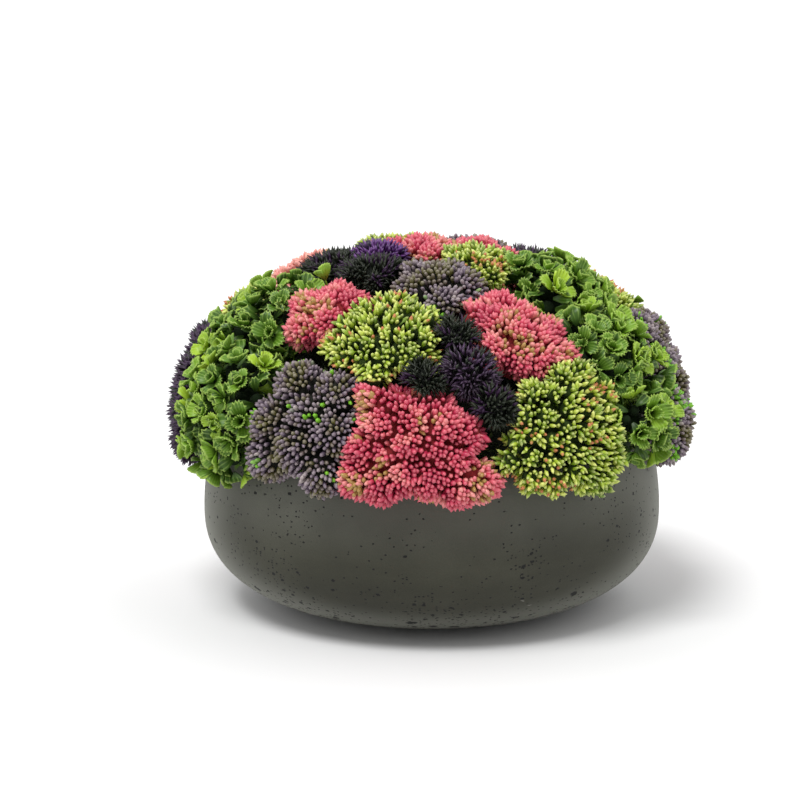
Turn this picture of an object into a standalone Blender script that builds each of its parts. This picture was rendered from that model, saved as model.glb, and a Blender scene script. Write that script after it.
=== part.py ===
"""Succulent dish garden: a dome of sedum heads and toothed green rosettes in a low concrete bowl.

The origin is the centre of the bowl's flat underside, +Z is up and the front is at -Y.
"""
import math
import random

import bmesh
import bpy
from mathutils import Matrix, Vector

# Whole object
OVERALL_WIDTH = 0.254
OVERALL_HEIGHT = 0.178

# Bowl
BOWL_RADIUS = 0.1095
BOWL_WIDEST_HEIGHT = 0.046
BOWL_HEIGHT = 0.084
RIM_RADIUS = 0.1037
FOOT_RADIUS = 0.036
BOWL_WALL = 0.007
BOWL_FLOOR = 0.009
BELLY_ROUNDNESS = 2.3
RIM_ROUNDING = 0.002
BOWL_STEPS = 36
INSIDE_HEIGHTS = [0.011, 0.015, 0.022, 0.034, 0.050, 0.066]

# Foam mound that the stems are pushed into, its crown an ellipse
GAP = 0.0003
MOUND_EDGE_HEIGHT = BOWL_HEIGHT - 0.004
MOUND_RISE = 0.066
MOUND_STEPS = BOWL_STEPS // 2
CROWN_ANGLES = [0, 20, 40, 58, 75, 90]
STEM_RADIUS = 0.0022
STEM_SIDES = 6
STEM_SUNK = 0.010
HOLE_MOUTH = 0.012

# Dome that the heads fill, an ellipsoid that the buds' tips stand out of
TIP_STAND_OUT = 0.0012
DOME_RADIUS = OVERALL_WIDTH / 2 - TIP_STAND_OUT
DOME_CENTRE_HEIGHT = 0.093
DOME_RISE = OVERALL_HEIGHT - DOME_CENTRE_HEIGHT - TIP_STAND_OUT

GOLDEN_ANGLE = math.pi * (3 - math.sqrt(5))

# Lobes of a head, in shares of the head's radius or the lobe's: how large they are in a small head,
# how far they spread and sink towards its edge, keep apart and keep off the sides of its cell
SMALL_LOBE_SHARE = 0.5
LOBE_SPREAD = 1.45
LOBE_SINK = 0.24
LOBE_SPACING = 1.3
LOBE_ROOM = 0.5
LOBE_TRIES = 4
SKIRT_HEIGHT = 0.070

# A head's centre lies under its lobes, and its core fills most of the depth to the summit
CENTRE_SHARE = 0.35
CORE_SHARE = 0.9
VALLEY_SLOPE = 1.3

# Cells: the reach within which heads are neighbours, the clear space on each side of a shared plane,
# and the steepest lean of the plane that keeps a head off the bowl's lip
NEIGHBOUR_REACH = 0.110
CELL_MARGIN = 0.0002
LIP_LEAN = math.radians(65)
MOVES_INSIDE = 6

# Skin of a head: points per pitch square, the share of them on its outer part, and where that part ends
SKIN_DENSITY = 4.2
FEWEST_POINTS = 16
OUTER_SHARE = 0.85
OUTER_EDGE = -0.25
UNDERSIDE_EDGE = -0.95
BUD_FACING = -0.35
BUD_SLOPE_SHARE = 0.42
STEEPEST_BUD = 1.35
SKIN_SHRINK = 0.8

# Each kind of head: lobe radius, bud height and spacing of the buds' feet, colour
KINDS = {
    "pink": dict(lobe=0.0100, bud=0.0058, pitch=0.0068, colour=(0.60, 0.09, 0.15)),
    "blush": dict(lobe=0.0090, bud=0.0050, pitch=0.0068, colour=(0.72, 0.34, 0.34)),
    "lime": dict(lobe=0.0110, bud=0.0046, pitch=0.0066, colour=(0.32, 0.42, 0.10)),
    "mauve": dict(lobe=0.0130, bud=0.0054, pitch=0.0068, colour=(0.15, 0.12, 0.18)),
    "dark": dict(lobe=0.0080, bud=0.0060, pitch=0.0064, colour=(0.012, 0.018, 0.014)),
    "plum": dict(lobe=0.0090, bud=0.0060, pitch=0.0064, colour=(0.06, 0.025, 0.09)),
    "green": dict(lobe=0.0120, bud=0.0, pitch=0.0150, colour=(0.10, 0.30, 0.04)),
}

# Each head: its place, kind, bearing from the front, tilt from straight up, radius in millimetres
HEADS = [
    ("front", "pink", -5, 86, 39),
    ("right_front", "lime", 30, 84, 31),
    ("left_front", "mauve", -29, 80, 33),
    ("centre", "lime", -13, 60, 28),
    ("right", "pink", 25, 60, 26),
    ("left", "pink", -40, 51, 20),
    ("centre", "dark", 7, 59, 11),
    ("centre", "plum", 9, 69, 14),
    ("low_left", "dark", -2, 71, 10),
    ("low_right", "dark", 14, 78, 11),
    ("top_front", "mauve", 2, 34, 22),
    ("top_right", "lime", 50, 21, 16),
    ("top_left", "pink", -150, 9, 18),
    ("top_right", "pink", 100, 17, 19),
    ("top_rear_left", "lime", -138, 27, 11),
    ("top_left", "dark", -88, 32, 16),
    ("top_left", "plum", -85, 19, 13),
    ("top_front_left", "dark", -42, 30, 13),
    ("top_rear_left", "blush", -108, 43, 14),
    ("top_rear_right", "plum", 104, 34, 15),
    ("left_high", "green", -68, 61, 29),
    ("left_low", "green", -56, 82, 30),
    ("right_high", "green", 70, 44, 25),
    ("right_middle", "green", 56, 67, 26),
    ("right_low", "green", 54, 86, 15),
    ("right_side", "mauve", 84, 82, 33),
    ("left_side", "plum", -88, 85, 28),
    ("rear_right_low", "pink", 127, 80, 30),
    ("rear_low", "green", 157, 80, 32),
    ("rear_low", "mauve", -172, 80, 31),
    ("rear_left_low", "lime", -144, 80, 30),
    ("rear_left_low", "pink", -120, 80, 24),
    ("rear_right_high", "lime", 108, 57, 23),
    ("rear_right_high", "dark", 132, 57, 21),
    ("rear_high", "pink", 160, 56, 27),
    ("rear_high", "green", -166, 55, 27),
    ("rear_left_high", "mauve", -136, 56, 25),
    ("left_side_high", "lime", -108, 62, 18),
    ("top_rear", "mauve", 150, 29, 21),
    ("top_rear", "lime", -168, 27, 16),
]

# Toothed rosettes of the green bunches, with a leaf's notch and dent in shares of the rosette's radius
ROSETTE_RADIUS = 0.0095
ROSETTE_LEAVES = 5
LEAF_NOTCH = 0.42
LEAF_DENT = 0.84
TOOTH_SPREAD = 0.31
ROSETTE_CUP = 0.0030
ROSETTE_SIZES = (0.92, 1.05)
ROSETTE_SPACING = 1.5
ROSETTE_TRIES = 3
ROSETTE_FLATNESS = 0.3
ROSETTE_STAND_OUT = 0.0070
HEART_ROOM = 0.45
ROOT_SHARE = 0.4


def clear_scene():
    """Removes whatever objects the scene holds."""
    for old in list(bpy.data.objects):
        bpy.data.objects.remove(old)


def make_material(name, colour, roughness):
    """A plain Principled material."""
    material = bpy.data.materials.new(name)
    material.use_nodes = True
    shader = material.node_tree.nodes["Principled BSDF"]
    shader.inputs["Base Color"].default_value = (*colour, 1)
    shader.inputs["Roughness"].default_value = roughness
    shader.inputs["Metallic"].default_value = 0
    return material


def add_object(name, mesh, collection, material):
    """Links a mesh as a named object with its material."""
    item = bpy.data.objects.new(name, mesh)
    mesh.materials.clear()
    mesh.materials.append(material)
    collection.objects.link(item)
    return item


def mesh_from(name, bm):
    """Turns a bmesh into a mesh and frees it."""
    mesh = bpy.data.meshes.new(name)
    bm.to_mesh(mesh)
    bm.free()
    return mesh


def turned(name, profile, steps, collection, material):
    """A profile of (radius, height) points, top to bottom on its outer side, turned about Z."""
    bm = bmesh.new()
    points = [bm.verts.new((radius, 0, height)) for radius, height in profile]
    for start, end in zip(points, points[1:]):
        bm.edges.new((start, end))
    item = add_object(name, mesh_from(name, bm), collection, material)
    screw = item.modifiers.new("Turn", "SCREW")
    screw.axis = "Z"
    screw.steps = steps
    screw.render_steps = steps
    screw.use_merge_vertices = True
    screw.merge_threshold = 0.00001
    screw.use_smooth_shade = True
    return item


def bowl_outside(height):
    """Outer radius of the bowl at a height: a superellipse belly, then a gentle inward lean."""
    if height >= BOWL_WIDEST_HEIGHT:
        share = (height - BOWL_WIDEST_HEIGHT) / (BOWL_HEIGHT - BOWL_WIDEST_HEIGHT)
        return BOWL_RADIUS - (BOWL_RADIUS - RIM_RADIUS) * share ** 2
    drop = 1 - height / BOWL_WIDEST_HEIGHT
    belly = (1 - drop ** BELLY_ROUNDNESS) ** (1 / BELLY_ROUNDNESS)
    return FOOT_RADIUS + (BOWL_RADIUS - FOOT_RADIUS) * belly


def belly_heights(count):
    """Heights from just under the widest ring down to the foot, closer together near the foot."""
    shares = [step / count for step in range(1, count)]
    return [BOWL_WIDEST_HEIGHT * (1 - math.sin(share * math.pi / 2)) for share in shares]


def bowl_inside(height):
    """Inner radius of the bowl at a height above its floor."""
    lift = height - BOWL_FLOOR
    full = BOWL_HEIGHT - BOWL_FLOOR
    return bowl_outside(BOWL_HEIGHT * lift / full) - BOWL_WALL


def make_bowl(collection):
    """Low rounded bowl with an even wall, a rounded lip and a flat foot."""
    upper = [BOWL_HEIGHT - RIM_ROUNDING, 0.072, 0.059, BOWL_WIDEST_HEIGHT]
    outer = [(bowl_outside(height), height) for height in upper + belly_heights(9)]
    inner_heights = INSIDE_HEIGHTS + [BOWL_HEIGHT - RIM_ROUNDING]
    inner = [(bowl_inside(height), height) for height in inner_heights]
    lip = [(RIM_RADIUS - BOWL_WALL + RIM_ROUNDING, BOWL_HEIGHT), (RIM_RADIUS - RIM_ROUNDING, BOWL_HEIGHT)]
    profile = [(0, BOWL_FLOOR), (FOOT_RADIUS - BOWL_WALL, BOWL_FLOOR)] + inner + lip + outer
    profile += [(FOOT_RADIUS, 0), (0, 0)]
    material = make_material("concrete", (0.065, 0.062, 0.052), 0.85)
    return turned("bowl", profile, BOWL_STEPS, collection, material)


def mound_height(radius):
    """Height of the foam mound's crowned top at a radius."""
    edge = mound_edge_radius()
    return MOUND_EDGE_HEIGHT + MOUND_RISE * math.sqrt(max(0, 1 - (radius / edge) ** 2))


def mound_edge_radius():
    """Radius of the mound where it meets the bowl's inner wall."""
    return bowl_inside(MOUND_EDGE_HEIGHT) - GAP


def make_mound(collection, cutters):
    """Foam mound that fills the bowl and crowns above its lip, with a plain hole for each stem."""
    edge = mound_edge_radius()
    crown = [edge * math.sin(math.radians(angle)) for angle in CROWN_ANGLES]
    top = [(radius, mound_height(radius)) for radius in crown]
    sides = [(bowl_inside(height) - 2 * GAP, height) for height in reversed(INSIDE_HEIGHTS)]
    base = BOWL_FLOOR + GAP
    profile = top + sides + [(FOOT_RADIUS - BOWL_WALL - GAP, base), (0, base)]
    material = make_material("moss", (0.020, 0.026, 0.012), 0.95)
    mound = turned("foam_mound", profile, MOUND_STEPS, collection, material)
    cut = mound.modifiers.new("Stem holes", "BOOLEAN")
    cut.operation = "DIFFERENCE"
    cut.operand_type = "COLLECTION"
    cut.collection = cutters
    return mound


def sunflower_disc(count):
    """Places on a disc of radius 1 by the golden angle, from its middle outward."""
    for index in range(count):
        out = math.sqrt(index / count)
        angle = index * GOLDEN_ANGLE
        yield out * math.cos(angle), out * math.sin(angle)


class Head:
    """One head or bunch: its place on the dome, the way it faces and its lobes."""

    def __init__(self, place, kind, bearing, tilt, radius_mm):
        self.name = f"{kind}_{'bunch' if kind == 'green' else 'head'}_{place}"
        self.kind = kind
        self.radius = radius_mm / 1000
        self.lobe = min(KINDS[kind]["lobe"], self.radius * SMALL_LOBE_SHARE)
        turn = math.radians(bearing)
        lean = math.radians(tilt)
        ray = Vector((math.sin(lean) * math.sin(turn), -math.sin(lean) * math.cos(turn), math.cos(lean)))
        reach = 1 / math.sqrt((ray.xy.length / DOME_RADIUS) ** 2 + (ray.z / DOME_RISE) ** 2)
        self.summit = ray * reach + Vector((0, 0, DOME_CENTRE_HEIGHT))
        facing = Vector((ray.x / DOME_RADIUS ** 2, ray.y / DOME_RADIUS ** 2, ray.z / DOME_RISE ** 2))
        self.facing = facing.normalized()
        self.turn = self.facing.to_track_quat("Z", "Y").to_matrix()
        self.depth = self.lobe + CENTRE_SHARE * self.radius
        self.centre = self.summit - self.facing * self.depth
        self.planes = []
        self.lobes = []

    def spread_lobes(self):
        """Lobe centres in a sunflower pattern under the summit, moved inside the head's cell."""
        spread = LOBE_SPREAD * self.radius - self.lobe
        count = round(LOBE_TRIES * (self.radius / self.lobe) ** 2)
        for x, y in sunflower_disc(count):
            sink = LOBE_SINK * spread * (x * x + y * y)
            local = Vector((spread * x, spread * y, -self.lobe - sink))
            place = moved_inside(self, self.summit + self.turn @ local, LOBE_ROOM * self.lobe)
            place.z = max(place.z, SKIRT_HEIGHT + self.lobe)
            near = min(((place - other).length for other in self.lobes), default=math.inf)
            if near > LOBE_SPACING * self.lobe:
                self.lobes.append(place)

    def stem_end(self):
        """Where the stem ends inside the mound."""
        point = self.centre
        while point.xy.length > mound_edge_radius() or point.z > mound_height(point.xy.length):
            point = point - self.facing * GAP
        return point - self.facing * STEM_SUNK


def moved_inside(head, place, room):
    """A point moved, plane by plane, off the sides of a head's cell until it has the room asked for."""
    for _ in range(MOVES_INSIDE):
        for normal, offset in head.planes[1:]:
            lack = room - (offset - normal.dot(place))
            if lack > 0:
                place = place - normal * lack
    return place


def base_plane(head):
    """Plane under a head that keeps it off the mound and the bowl's lip: its normal and offset."""
    lean = min(math.acos(head.facing.z), LIP_LEAN)
    outward = head.facing.xy.normalized() * math.sin(lean)
    normal = Vector((outward.x, outward.y, math.cos(lean)))
    edge = mound_edge_radius()
    crown = MOUND_EDGE_HEIGHT * normal.z + math.hypot(edge * math.sin(lean), MOUND_RISE * normal.z)
    lip = RIM_RADIUS * math.sin(lean) + BOWL_HEIGHT * normal.z
    return -normal, -max(crown, lip) - GAP


def plane_between(head, other):
    """Plane across the line between two heads, which divides it as their radii, facing the other."""
    apart = other.centre - head.centre
    share = head.radius / (head.radius + other.radius)
    normal = apart.normalized()
    return normal, normal.dot(head.centre + apart * share) - CELL_MARGIN


def plane_off_stem(head, other):
    """Plane that keeps a head off another head's stem."""
    start = other.centre
    along = other.stem_end() - start
    share = max(0, min(1, (head.centre - start).dot(along) / along.length_squared))
    nearest = start + along * share
    away = nearest - head.centre
    normal = away.normalized()
    return normal, normal.dot(nearest) - STEM_RADIUS - GAP


def set_cells(heads):
    """Gives each head the planes that bound its own convex cell."""
    for head in heads:
        head.planes.append(base_plane(head))
        for other in heads:
            if other is not head and (other.centre - head.centre).length < NEIGHBOUR_REACH:
                head.planes.append(plane_between(head, other))
                head.planes.append(plane_off_stem(head, other))
        head.spread_lobes()


def reach_in_cell(head, direction, start=None):
    """Distance to the boundary of a head's cell along a direction, from its centre or another start."""
    start = start or head.centre
    reach = math.inf
    for normal, offset in head.planes:
        closing = normal.dot(direction)
        if closing > 0:
            reach = min(reach, (offset - normal.dot(start)) / closing)
    return reach


def reach_of_lobes(head, direction, shrink):
    """Distance from a head's centre to the far side of its lobes, sloping down between them."""
    reach = head.depth * CORE_SHARE
    radius = head.lobe - shrink
    for lobe in head.lobes:
        offset = lobe - head.centre
        along = offset.dot(direction)
        beside = math.sqrt(max(0, offset.length_squared - along ** 2))
        if along > 0:
            if beside < radius:
                bulge = math.sqrt(radius ** 2 - beside ** 2)
            else:
                bulge = VALLEY_SLOPE * (radius - beside)
            reach = max(reach, along + bulge)
    return reach


def sunflower_ball(count):
    """Points on a ball of radius 1 by the golden angle, dense over it and sparse under it."""
    points = []
    for index in range(count):
        share = (index + 0.5) / count
        if share < OUTER_SHARE:
            height = 1 + (OUTER_EDGE - 1) * share / OUTER_SHARE
        else:
            height = OUTER_EDGE + (UNDERSIDE_EDGE - OUTER_EDGE) * (share - OUTER_SHARE) / (1 - OUTER_SHARE)
        ring = math.sqrt(1 - height ** 2)
        angle = index * GOLDEN_ANGLE
        points.append(Vector((ring * math.cos(angle), ring * math.sin(angle), height)))
    return points


def skin_head(head, shrink):
    """Closed skin of a head: lobes bulging from its centre, cut off at the cell's planes."""
    pitch = KINDS[head.kind]["pitch"]
    bm = bmesh.new()
    for point in sunflower_ball(max(FEWEST_POINTS, round(SKIN_DENSITY * (head.radius / pitch) ** 2))):
        bm.verts.new(point)
    bmesh.ops.convex_hull(bm, input=bm.verts)
    flatten = Vector((head.radius, head.radius, head.depth))
    for vert in bm.verts:
        direction = (head.turn @ (vert.co * flatten)).normalized()
        reach = min(reach_of_lobes(head, direction, shrink), reach_in_cell(head, direction))
        vert.co = head.centre + direction * reach
    bm.normal_update()
    return bm


def bud_tip(head, face):
    """Tip of the bud on a face of a head's skin, low where the faces round it close in."""
    middle = face.calc_center_median()
    inradius = 2 * face.calc_area() / face.calc_perimeter()
    tightest = min(math.pi + edge.calc_face_angle_signed() for edge in face.edges)
    steepest = min(STEEPEST_BUD, tightest * BUD_SLOPE_SHARE)
    rise = min(KINDS[head.kind]["bud"], inradius * math.tan(steepest))
    outward = (middle - head.centre).normalized()
    tip = middle + (face.normal * 2 + outward).normalized() * rise - head.centre
    return head.centre + tip.normalized() * min(tip.length, reach_in_cell(head, tip.normalized()))


def raise_buds(head, bm):
    """Raises a pointed bud on each outer face of the skin that isn't on the cell's boundary."""
    tips = []
    for face in bm.faces:
        middle = face.calc_center_median() - head.centre
        free = middle.length < reach_in_cell(head, middle.normalized()) - GAP
        if free and face.normal.dot(head.facing) > BUD_FACING:
            tips.append((face, bud_tip(head, face)))
    for face, tip in tips:
        poked = bmesh.ops.poke(bm, faces=[face])
        poked["verts"][0].co = tip


def rod_mesh(name, start, end, radius):
    """Straight rod with flat ends between two points."""
    along = end - start
    turn = along.to_track_quat("Z", "Y").to_matrix().to_4x4()
    bm = bmesh.new()
    bmesh.ops.create_cone(bm, cap_ends=True, segments=STEM_SIDES, radius1=radius, radius2=radius,
                          depth=along.length, matrix=Matrix.Translation((start + end) / 2) @ turn)
    return mesh_from(name, bm)


def hole_cutter(head, cutters):
    """Cutter for the stem's hole in the mound, wider and deeper than the stem by the gap."""
    end = head.stem_end()
    radius = STEM_RADIUS + GAP / math.cos(math.pi / STEM_SIDES)
    mesh = rod_mesh("hole", end - head.facing * GAP, end + head.facing * (STEM_SUNK + HOLE_MOUTH), radius)
    cutter = bpy.data.objects.new(f"hole_{head.name}", mesh)
    cutters.objects.link(cutter)
    cutter.hide_render = True
    cutter.display_type = "WIRE"


def fuse(name, meshes, collection, material):
    """Joins closed meshes into one body by a Boolean union on a collection, and applies it."""
    base = add_object(name, meshes[0], collection, material)
    group = bpy.data.collections.new(f"{name} pieces")
    bpy.context.scene.collection.children.link(group)
    for mesh in meshes[1:]:
        group.objects.link(bpy.data.objects.new("piece", mesh))
    union = base.modifiers.new("Union", "BOOLEAN")
    union.operation = "UNION"
    union.operand_type = "COLLECTION"
    union.collection = group
    evaluated = base.evaluated_get(bpy.context.evaluated_depsgraph_get())
    joined = bpy.data.meshes.new_from_object(evaluated)
    joined.materials.clear()
    joined.materials.append(material)
    base.modifiers.clear()
    base.data = joined
    for piece in list(group.objects):
        bpy.data.objects.remove(piece)
    bpy.data.collections.remove(group)


def rosette_outline():
    """Outline of a rosette from above, as (angle, radius): a notch, a tooth, a dent and a tooth a leaf."""
    points = []
    leaf_angle = 2 * math.pi / ROSETTE_LEAVES
    for leaf in range(ROSETTE_LEAVES):
        middle = (leaf + 0.5) * leaf_angle
        points.append((leaf * leaf_angle, LEAF_NOTCH * ROSETTE_RADIUS))
        points.append((middle - TOOTH_SPREAD * leaf_angle, ROSETTE_RADIUS))
        points.append((middle, LEAF_DENT * ROSETTE_RADIUS))
        points.append((middle + TOOTH_SPREAD * leaf_angle, ROSETTE_RADIUS))
    return points


def rosette_mesh(head, heart, root, facing, spin, size):
    """Cupped toothed rosette on a stalk that tapers to its root, its leaves kept inside the cell."""
    outline = rosette_outline()
    bm = bmesh.new()
    bmesh.ops.create_cone(bm, cap_ends=True, segments=len(outline), radius1=0, radius2=1, depth=1)
    top = max(bm.faces, key=lambda face: len(face.verts))
    rim = list(top.verts)
    if top.normal.z < 0:
        rim.reverse()
    for vert, (angle, radius) in zip(rim, outline):
        rise = ROSETTE_CUP * (radius / ROSETTE_RADIUS) ** 2
        vert.co = Vector((radius * math.cos(angle), radius * math.sin(angle), rise)) * size
    bmesh.ops.poke(bm, faces=[top])["verts"][0].co = (0, 0, 0)
    turn = facing.to_track_quat("Z", "Y").to_matrix().to_4x4() @ Matrix.Rotation(spin, 4, "Z")
    foot = [vert for vert in bm.verts if vert.co.z < 0]
    bmesh.ops.transform(bm, verts=bm.verts, matrix=Matrix.Translation(heart) @ turn)
    bmesh.ops.pointmerge(bm, verts=foot, merge_co=root)
    for vert in rim:
        leaf = vert.co - heart
        vert.co = heart + leaf * min(1, reach_in_cell(head, leaf.normalized(), heart) / leaf.length)
    bmesh.ops.recalc_face_normals(bm, faces=bm.faces)
    return mesh_from("rosette", bm)


def rosette_hearts(head):
    """Places of a bunch's rosettes: a sunflower pattern over its lobes, moved inside its cell."""
    hearts = []
    for x, y in sunflower_disc(round(ROSETTE_TRIES * (head.radius / ROSETTE_RADIUS) ** 2)):
        direction = head.turn @ Vector((x, y, ROSETTE_FLATNESS)).normalized()
        reach = reach_of_lobes(head, direction, ROSETTE_STAND_OUT) + ROSETTE_STAND_OUT
        heart = moved_inside(head, head.centre + direction * reach, HEART_ROOM * ROSETTE_RADIUS)
        near = min(((heart - other).length for other in hearts), default=math.inf)
        if near > ROSETTE_SPACING * ROSETTE_RADIUS:
            hearts.append(heart)
    return hearts


def rosette_meshes(head, draw):
    """Rosettes of a green bunch, each rooted in the bunch's core."""
    meshes = []
    for heart in rosette_hearts(head):
        outward = (heart - head.centre).normalized()
        inside = min(reach_of_lobes(head, outward, ROSETTE_STAND_OUT), reach_in_cell(head, outward))
        root = head.centre + outward * inside * ROOT_SHARE
        facing = (outward + head.facing * ROSETTE_FLATNESS).normalized()
        spin = draw.uniform(0, 2 * math.pi)
        meshes.append(rosette_mesh(head, heart, root, facing, spin, draw.uniform(*ROSETTE_SIZES)))
    return meshes


def make_head(head, collection, draw):
    """One head or bunch, fused with its stem."""
    material = make_material(head.name, KINDS[head.kind]["colour"], 0.55)
    pieces = [rod_mesh("stem", head.stem_end(), head.centre, STEM_RADIUS)]
    if head.kind == "green":
        core = skin_head(head, ROSETTE_STAND_OUT)
        pieces += rosette_meshes(head, draw)
    else:
        core = skin_head(head, SKIN_SHRINK * KINDS[head.kind]["bud"])
        raise_buds(head, core)
    fuse(head.name, [mesh_from(head.name, core)] + pieces, collection, material)


def build():
    """Builds the bowl, the mound and every head."""
    clear_scene()
    draw = random.Random(7)
    parts = bpy.data.collections.new("succulent dish garden")
    cutters = bpy.data.collections.new("cutters")
    bpy.context.scene.collection.children.link(parts)
    bpy.context.scene.collection.children.link(cutters)
    heads = [Head(*row) for row in HEADS]
    set_cells(heads)
    make_bowl(parts)
    for head in heads:
        make_head(head, parts, draw)
        hole_cutter(head, cutters)
    make_mound(parts, cutters)


build()
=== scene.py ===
"""A succulent dish garden: a low concrete bowl packed with sedum heads and toothed green rosettes.

Units are metres, +Z is up and the front is at -Y.
"""
import math

import bmesh
import bpy
import numpy as np
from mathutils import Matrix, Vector, noise


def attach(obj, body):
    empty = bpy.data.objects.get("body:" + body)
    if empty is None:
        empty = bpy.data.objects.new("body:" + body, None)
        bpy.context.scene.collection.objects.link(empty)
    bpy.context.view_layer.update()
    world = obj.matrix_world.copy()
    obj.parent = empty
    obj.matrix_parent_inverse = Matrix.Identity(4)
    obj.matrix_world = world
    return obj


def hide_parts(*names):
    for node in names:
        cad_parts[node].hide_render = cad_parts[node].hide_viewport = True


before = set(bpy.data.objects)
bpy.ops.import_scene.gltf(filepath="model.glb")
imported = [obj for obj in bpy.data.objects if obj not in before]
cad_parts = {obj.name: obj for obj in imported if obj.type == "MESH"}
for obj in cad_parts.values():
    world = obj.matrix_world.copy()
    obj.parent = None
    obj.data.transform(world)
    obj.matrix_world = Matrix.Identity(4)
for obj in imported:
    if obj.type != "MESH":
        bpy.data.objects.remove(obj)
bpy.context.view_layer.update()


# The camera stands in front of the bowl, 1.2 m off, and looks at the middle of the plants from a little
# above the bowl's rim.
CAMERA_TARGET = Vector((0, 0, 0.090))
CAMERA_DISTANCE = 1.2
CAMERA_ELEVATION = math.radians(11.6)
CAMERA_LENS = 112.5
CAMERA_SHIFT = (-0.0397, 0.0175)


def stand_camera():
    """Camera at the photograph's viewing angle."""
    data = bpy.data.cameras.new("camera")
    data.lens = CAMERA_LENS
    data.shift_x, data.shift_y = CAMERA_SHIFT
    camera = bpy.data.objects.new("camera", data)
    bpy.context.scene.collection.objects.link(camera)
    look = Vector((0, math.cos(CAMERA_ELEVATION), -math.sin(CAMERA_ELEVATION)))
    camera.location = CAMERA_TARGET - look * CAMERA_DISTANCE
    camera.rotation_euler = look.to_track_quat("-Z", "Y").to_euler()
    bpy.context.scene.camera = camera


stand_camera()


# The studio is a plain white floor under a pale sky of light. The main soft light comes from high on the
# front left, and weaker ones from both sides and from behind light the bowl's edges.
FLOOR_SIZE = 80
FLOOR_COLOUR = (0.76, 0.76, 0.76)
SKY_STRENGTH = 0.50
BACKDROP_STRENGTH = 1.00
# Each light: name, bearing from the front and height in degrees, spread in degrees, strength
LIGHTS = [
    ("main_light", -24, 61, 24, 2.20),
    ("left_light", -88, 36, 80, 1.00),
    ("right_light", 88, 36, 80, 0.94),
    ("back_light", 175, 50, 60, 0.50),
]


class Value:
    """A varying number or colour of a finish. Arithmetic on numbers adds the Math nodes it needs."""

    def __init__(self, finish, socket):
        self.finish = finish
        self.socket = socket

    def reckon(self, operation, first, second):
        inputs = {0: first, 1: second}
        return self.finish.node("ShaderNodeMath", {"operation": operation}, inputs)

    def __add__(self, other):
        return self.reckon("ADD", self, other)

    def __radd__(self, other):
        return self.reckon("ADD", other, self)

    def __sub__(self, other):
        return self.reckon("SUBTRACT", self, other)

    def __rsub__(self, other):
        return self.reckon("SUBTRACT", other, self)

    def __mul__(self, other):
        return self.reckon("MULTIPLY", self, other)

    def __rmul__(self, other):
        return self.reckon("MULTIPLY", other, self)

    def above(self, limit):
        """1 where the number is over a limit, else 0."""
        return self.reckon("GREATER_THAN", self, limit)

    def rise(self, low, high):
        """0 up to the low limit, 1 from the high one, and a soft ramp between them."""
        settings = {"interpolation_type": "SMOOTHSTEP"}
        return self.finish.node("ShaderNodeMapRange", settings, {"Value": self, 1: low, 2: high})


class Finish:
    """A Principled material that is built up from expressions."""

    def __init__(self, name, **constants):
        self.material = bpy.data.materials.new(name)
        self.material.use_nodes = True
        self.tree = self.material.node_tree
        self.shader = self.tree.nodes["Principled BSDF"]
        for socket, value in constants.items():
            self.shader.inputs[socket.replace("_", " ")].default_value = value

    def put(self, socket, value):
        """Links or sets one socket."""
        if isinstance(value, Value):
            self.tree.links.new(value.socket, socket)
        elif hasattr(socket.default_value, "__len__") and len(socket.default_value) == 4:
            socket.default_value = (*value, 1)
        else:
            socket.default_value = value

    def node(self, kind, settings=None, inputs=None, output=0):
        """Adds a node of a kind, with its settings first and then the values or links of its sockets."""
        made = self.tree.nodes.new(kind)
        for name, value in (settings or {}).items():
            if name == "stops":
                self.set_stops(made.color_ramp, value)
            else:
                setattr(made, name, value)
        for name, value in (inputs or {}).items():
            self.put(made.inputs[name], value)
        return Value(self, made.outputs[output])

    def set_stops(self, ramp, stops):
        """Stops of a colour ramp, as (place, colour)."""
        while len(ramp.elements) < len(stops):
            ramp.elements.new(1)
        for element, (place, colour) in zip(ramp.elements, stops):
            element.position = place
            element.color = (*colour, 1)

    def ramp(self, factor, stops):
        """Colour of a ramp, from its (place, colour) stops."""
        return self.node("ShaderNodeValToRGB", {"stops": stops}, {"Fac": factor})

    def mix(self, factor, first, second):
        """Colours mixed by a factor."""
        inputs = {0: factor, 6: first, 7: second}
        return self.node("ShaderNodeMix", {"data_type": "RGBA"}, inputs, output=2)

    def place(self, stretch=(1, 1, 1)):
        """Place on the object in metres, stretched along each axis."""
        spot = self.node("ShaderNodeTexCoord", output=3)
        return self.node("ShaderNodeVectorMath", {"operation": "MULTIPLY"}, {0: spot, 1: stretch})

    def noise(self, scale, detail=2.0, stretch=(1, 1, 1), distortion=0.0):
        """Cloudy pattern between 0 and 1, finer as its scale rises."""
        inputs = {"Vector": self.place(stretch), "Scale": scale, "Detail": detail, "Distortion": distortion}
        return self.node("ShaderNodeTexNoise", None, inputs)

    def written(self, name):
        """Number written on the mesh's points under a name."""
        return self.node("ShaderNodeAttribute", {"attribute_name": name}, output=2)

    def colour(self, value):
        self.put(self.shader.inputs["Base Color"], value)

    def roughness(self, value):
        self.put(self.shader.inputs["Roughness"], value)

    def relief(self, height, distance):
        """Fine relief of the surface, from a height between 0 and 1."""
        bump = self.node("ShaderNodeBump", None, {"Height": height, "Distance": distance})
        self.put(self.shader.inputs["Normal"], bump)


def lay_floor():
    """Plain pale floor."""
    bm = bmesh.new()
    bmesh.ops.create_grid(bm, x_segments=1, y_segments=1, size=FLOOR_SIZE / 2)
    mesh = bpy.data.meshes.new("floor")
    bm.to_mesh(mesh)
    bm.free()
    floor = bpy.data.objects.new("floor", mesh)
    bpy.context.scene.collection.objects.link(floor)
    mesh.materials.append(Finish("floor_paint", Base_Color=(*FLOOR_COLOUR, 1), Roughness=0.9).material)


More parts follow.
